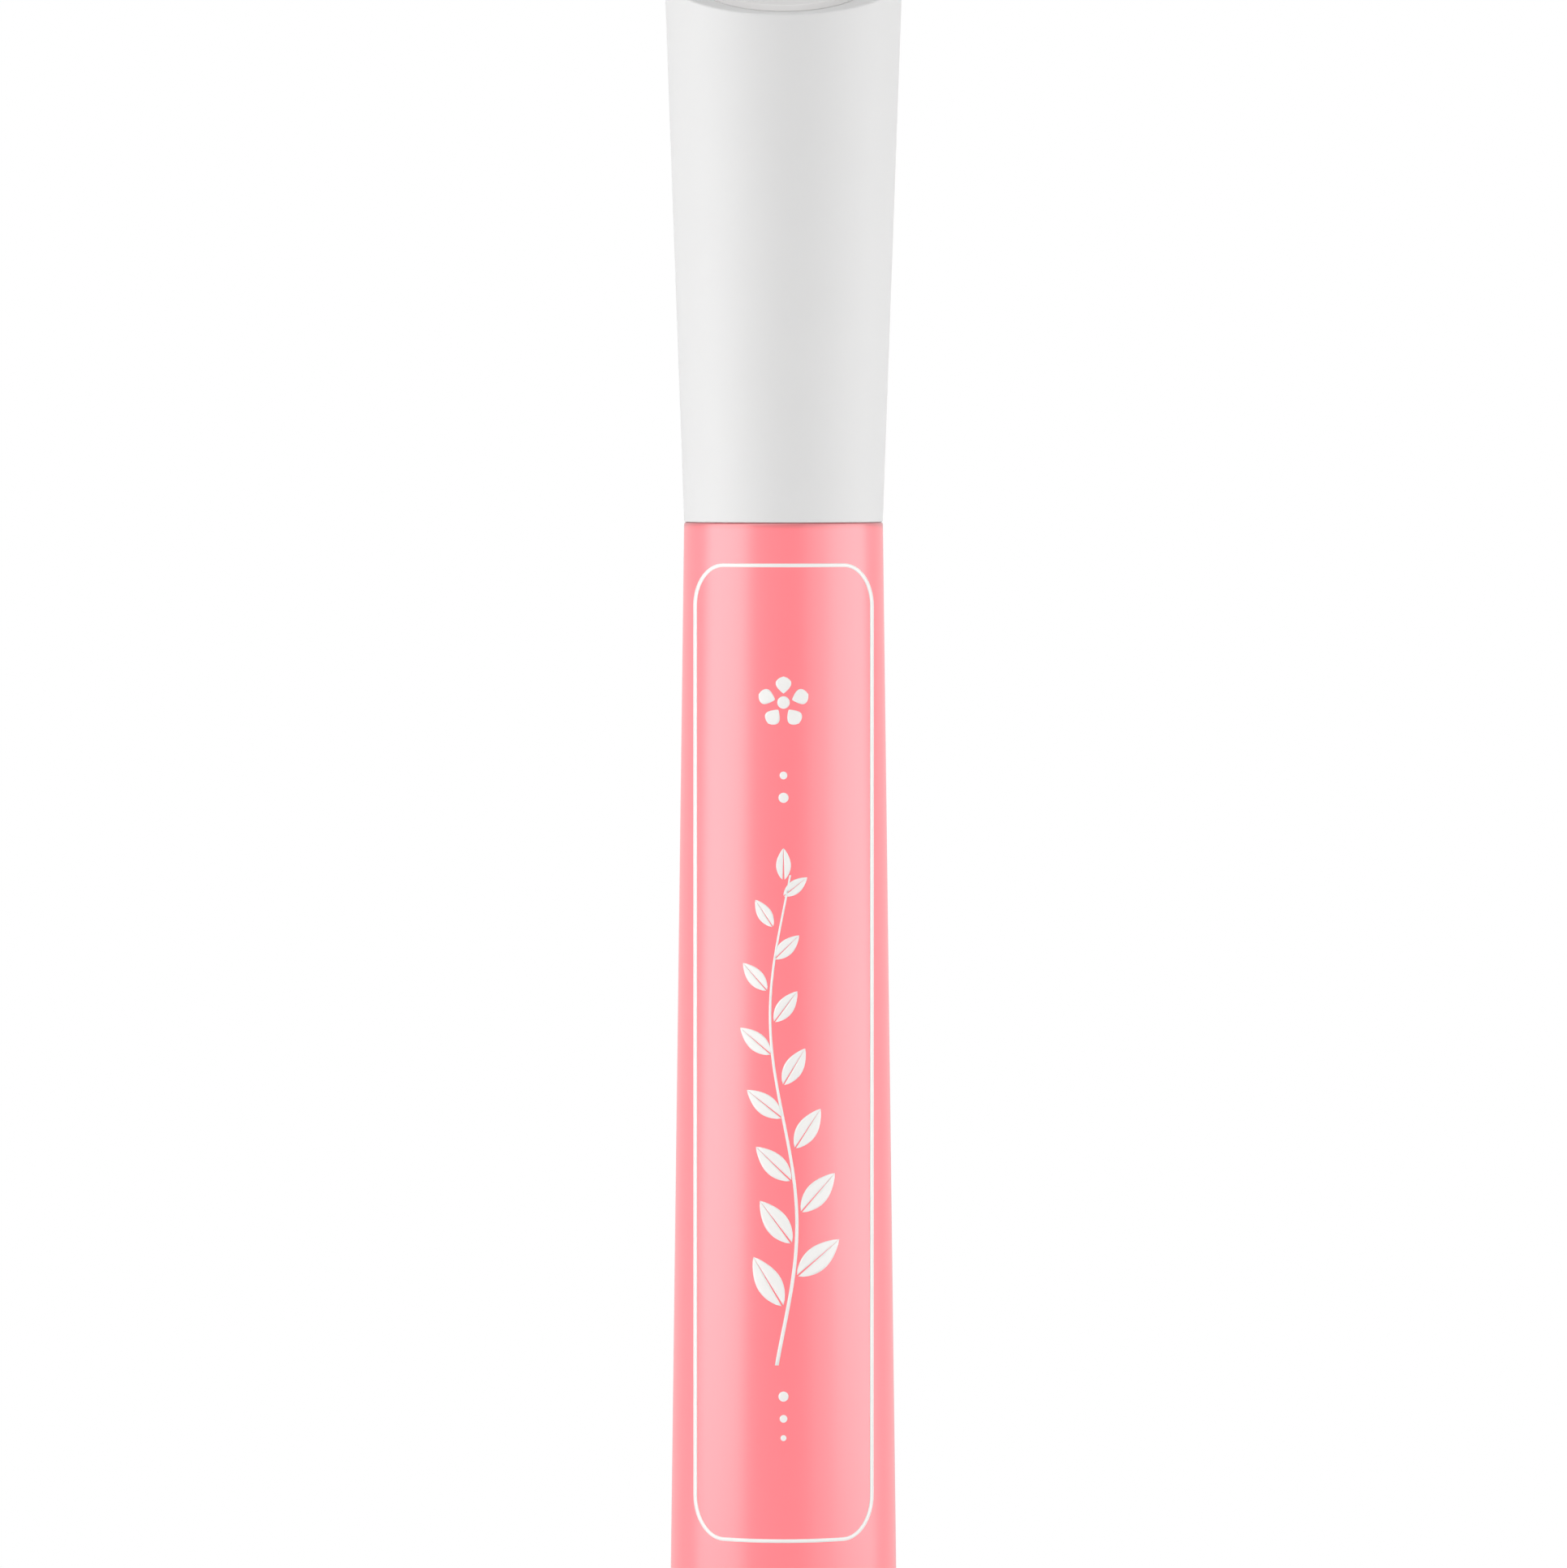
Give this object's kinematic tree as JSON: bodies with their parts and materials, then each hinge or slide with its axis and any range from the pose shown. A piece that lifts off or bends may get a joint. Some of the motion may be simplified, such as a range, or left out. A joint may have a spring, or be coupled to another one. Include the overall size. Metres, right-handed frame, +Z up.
{
  "type": "nail oil pen",
  "caption": "Twist-up nail oil pen with a waisted, flared body, a slant-topped slide-off cap over a brush tip, and a foot knob that screws a piston up the oil reservoir.",
  "frame": {"origin": "middle of the foot, on the surface that the capped pen stands on", "axes": "+Z up along the pen's axis from the foot to the cap, -Y towards the front, where the cap's slanted top is lowest, +X to the right seen from the front"},
  "size_m": [0.0162, 0.0161, 0.1315],
  "materials": {
    "cap_white": "satin white plastic",
    "cap_disc_white": "satin white plastic",
    "liner_natural": "natural polyethylene",
    "barrel_pink": "satin pink plastic",
    "collar_white": "smooth white plastic",
    "seal_black": "smooth black rubber",
    "nozzle_white": "smooth white plastic",
    "ring_natural": "clear natural plastic",
    "tube_clear": "translucent tube",
    "bristle_nylon": "nylon filament",
    "housing_white": "moulded white plastic",
    "nut_natural": "natural acetal",
    "piston_white": "moulded white plastic",
    "piston_seal_soft": "soft natural elastomer",
    "screw_natural": "natural acetal",
    "knob_pink": "satin pink plastic",
    "plug_pink": "satin pink plastic",
    "sleeve_grey": "moulded grey plastic",
    "click_amber": "amber acetal",
    "spring_steel": "drawn spring wire"
  },
  "bodies": {
    "barrel_body": {"barrel": "barrel_pink", "front_collar": "collar_white", "collar_seal": "seal_black", "nozzle": "nozzle_white", "brush_ring": "ring_natural", "feed_tube": "tube_clear", "bristle_bundle": "bristle_nylon", "mechanism_housing": "housing_white", "knob_drag_ring": "seal_black", "screw_nut": "nut_natural"},
    "cap_body": {"cap_shell": "cap_white", "cap_top_disc": "cap_disc_white", "cap_liner": "liner_natural"},
    "knob_body": {"knob_shell": "knob_pink", "foot_plug": "plug_pink", "drive_sleeve": "sleeve_grey", "click_spring": "spring_steel"},
    "click_body": {"click_ring": "click_amber"},
    "piston_body": {"piston_core": "piston_white", "piston_seal": "piston_seal_soft"},
    "screw_body": {"lead_screw": "screw_natural"}
  },
  "joints": [
    {"name": "cap_pull", "type": "slide", "parent": "barrel_body", "child": "cap_body", "axis": [0, 0, 1], "range_m": [0, 0.04]},
    {"name": "knob_turn", "type": "hinge", "parent": "barrel_body", "child": "knob_body", "pos_m": [0, 0, 0], "axis": [0, 0, 1], "range_deg": [0, 4680]},
    {"name": "piston_advance", "type": "slide", "parent": "barrel_body", "child": "piston_body", "axis": [0, 0, 1], "range_m": [0, 0.0325]},
    {"name": "screw_spin", "type": "hinge", "parent": "piston_body", "child": "screw_body", "pos_m": [0, 0, 0.05], "axis": [0, 0, 1], "range_deg": [0, 4680]},
    {"name": "click_lift", "type": "slide", "parent": "knob_body", "child": "click_body", "axis": [0, 0, 1], "range_m": [0, 0.0006], "stiffness_N_per_m": 300, "deforming": ["click_spring"]}
  ],
  "couplings": [
    {"joint": "knob_turn", "follows": "piston_advance", "rad_per_m": 2513.3},
    {"joint": "screw_spin", "follows": "piston_advance", "rad_per_m": 2513.3}
  ]
}
